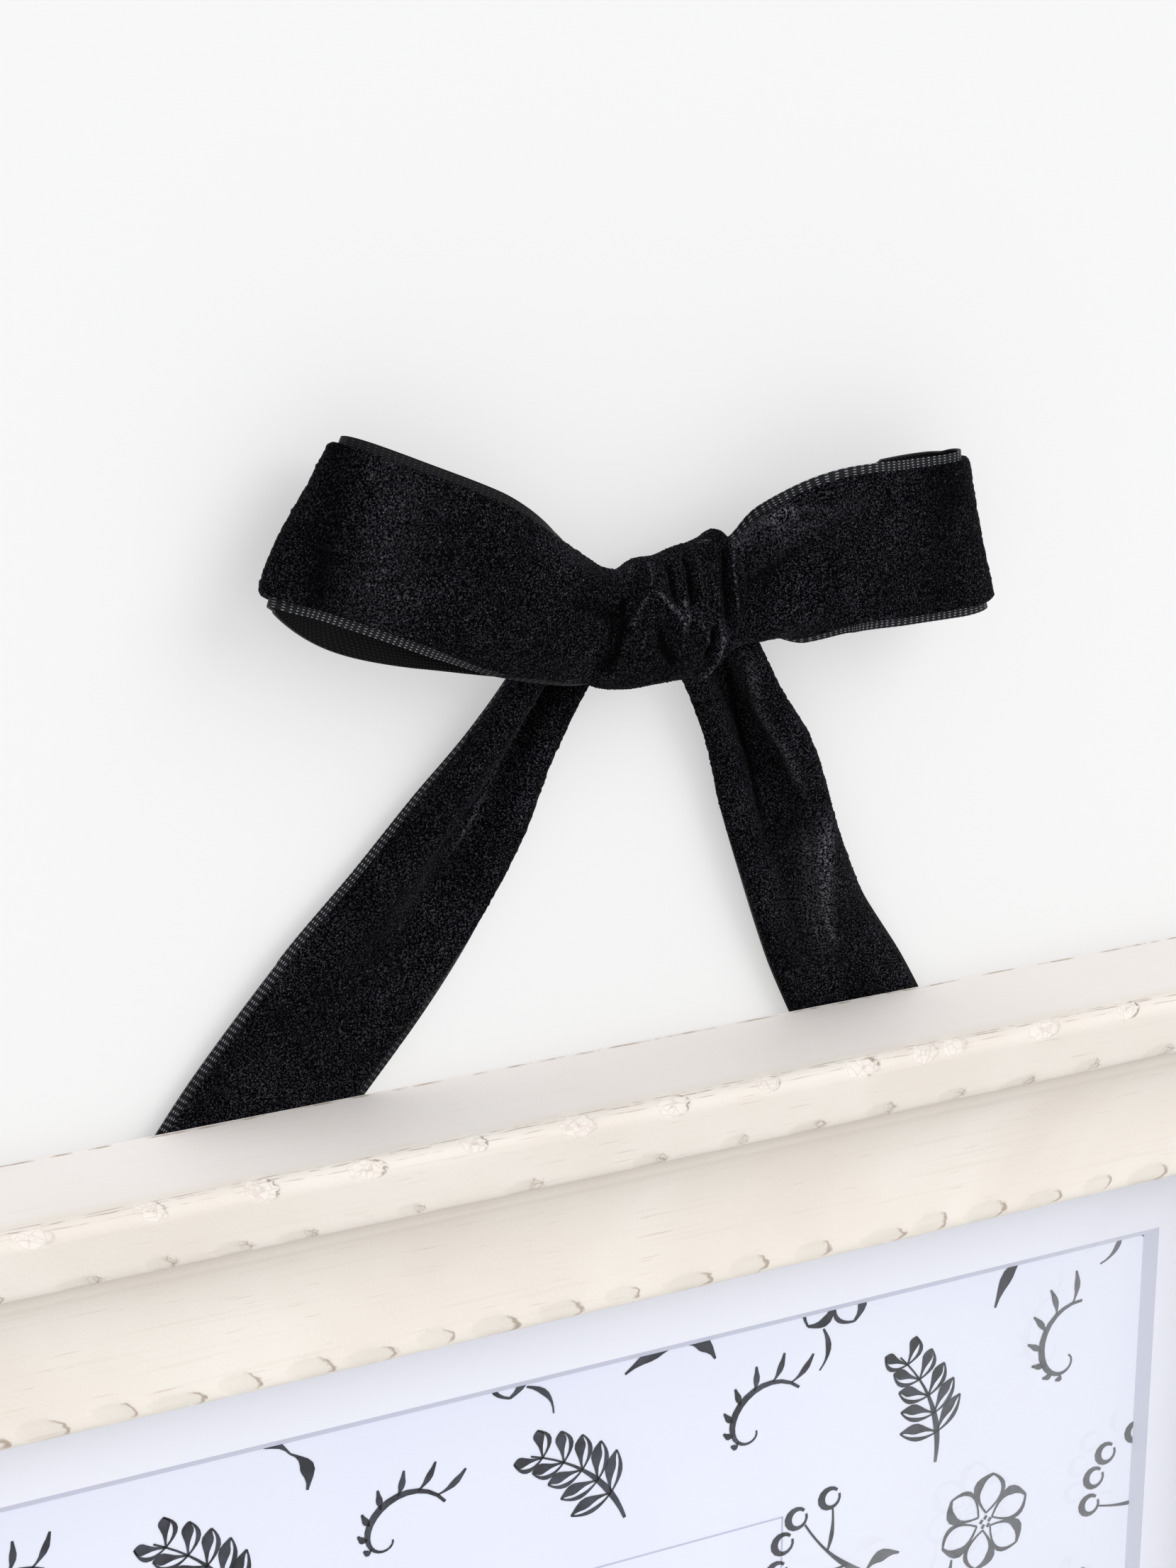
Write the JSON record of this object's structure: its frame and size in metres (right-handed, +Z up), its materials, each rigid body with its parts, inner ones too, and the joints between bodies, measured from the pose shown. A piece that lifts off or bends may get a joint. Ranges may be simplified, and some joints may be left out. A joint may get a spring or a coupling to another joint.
{
  "type": "hanging photo frame",
  "caption": "Upright wooden photo frame with a carved scoop moulding, glass, a window mat and a print, turn buttons at the back, hung by a velvet ribbon tied in a bow.",
  "frame": {"origin": "the wall nail that the ribbon hangs on, on the wall's surface, under the knot and between the two legs of the ribbon", "axes": "+Z up, +X to the right seen from the front, the front faces -Y and the wall is the plane Y = 0"},
  "size_m": [0.2768, 0.0227, 0.4143],
  "materials": {
    "cream_paint": "satin cream paint over pine, rubbed back, with grain and gouged nicks showing",
    "clear_glass": "clear float glass with polished faces",
    "mat_board": "matte white board with a bevelled window",
    "print_paper": "matte pale lavender paper with black ink motifs",
    "fibreboard": "raw hard fibreboard, smooth and matte",
    "zinc_steel": "bright zinc plate",
    "black_velvet": "cut velvet pile on the face, satin weave on the back, woven selvages"
  },
  "bodies": {
    "frame": {"top_rail": "cream_paint", "right_rail": "cream_paint", "bottom_rail": "cream_paint", "left_rail": "cream_paint", "v_nail_top_left_outer": "zinc_steel", "v_nail_top_left_inner": "zinc_steel", "v_nail_top_right_outer": "zinc_steel", "v_nail_top_right_inner": "zinc_steel", "v_nail_bottom_left_outer": "zinc_steel", "v_nail_bottom_left_inner": "zinc_steel", "v_nail_bottom_right_outer": "zinc_steel", "v_nail_bottom_right_inner": "zinc_steel", "glass_pane": "clear_glass", "window_mat": "mat_board", "print_sheet": "print_paper", "backing_board": "fibreboard", "screw_top": "zinc_steel", "screw_right_upper": "zinc_steel", "screw_right_lower": "zinc_steel", "screw_bottom": "zinc_steel", "screw_left_lower": "zinc_steel", "screw_left_upper": "zinc_steel", "staple_left_outer": "zinc_steel", "staple_left_inner": "zinc_steel", "staple_right_outer": "zinc_steel", "staple_right_inner": "zinc_steel", "ribbon_knot": "black_velvet", "ribbon_left_loop": "black_velvet", "ribbon_right_loop": "black_velvet", "ribbon_left_leg": "black_velvet", "ribbon_right_leg": "black_velvet"},
    "button_top": {"turn_button_top": "zinc_steel"},
    "button_right_upper": {"turn_button_right_upper": "zinc_steel"},
    "button_right_lower": {"turn_button_right_lower": "zinc_steel"},
    "button_bottom": {"turn_button_bottom": "zinc_steel"},
    "button_left_lower": {"turn_button_left_lower": "zinc_steel"},
    "button_left_upper": {"turn_button_left_upper": "zinc_steel"}
  },
  "joints": [
    {"name": "button_top_turn", "type": "hinge", "parent": "frame", "child": "button_top", "pos_m": [-0.0099, -0.0024, -0.0635], "axis": [0, 1, 0], "continuous": true},
    {"name": "button_right_upper_turn", "type": "hinge", "parent": "frame", "child": "button_right_upper", "pos_m": [0.1129, -0.0024, -0.1378], "axis": [0, 1, 0], "continuous": true},
    {"name": "button_right_lower_turn", "type": "hinge", "parent": "frame", "child": "button_right_lower", "pos_m": [0.1129, -0.0024, -0.2858], "axis": [0, 1, 0], "continuous": true},
    {"name": "button_bottom_turn", "type": "hinge", "parent": "frame", "child": "button_bottom", "pos_m": [-0.0099, -0.0024, -0.3601], "axis": [0, 1, 0], "continuous": true},
    {"name": "button_left_lower_turn", "type": "hinge", "parent": "frame", "child": "button_left_lower", "pos_m": [-0.1327, -0.0024, -0.2858], "axis": [0, 1, 0], "continuous": true},
    {"name": "button_left_upper_turn", "type": "hinge", "parent": "frame", "child": "button_left_upper", "pos_m": [-0.1327, -0.0024, -0.1378], "axis": [0, 1, 0], "continuous": true}
  ]
}
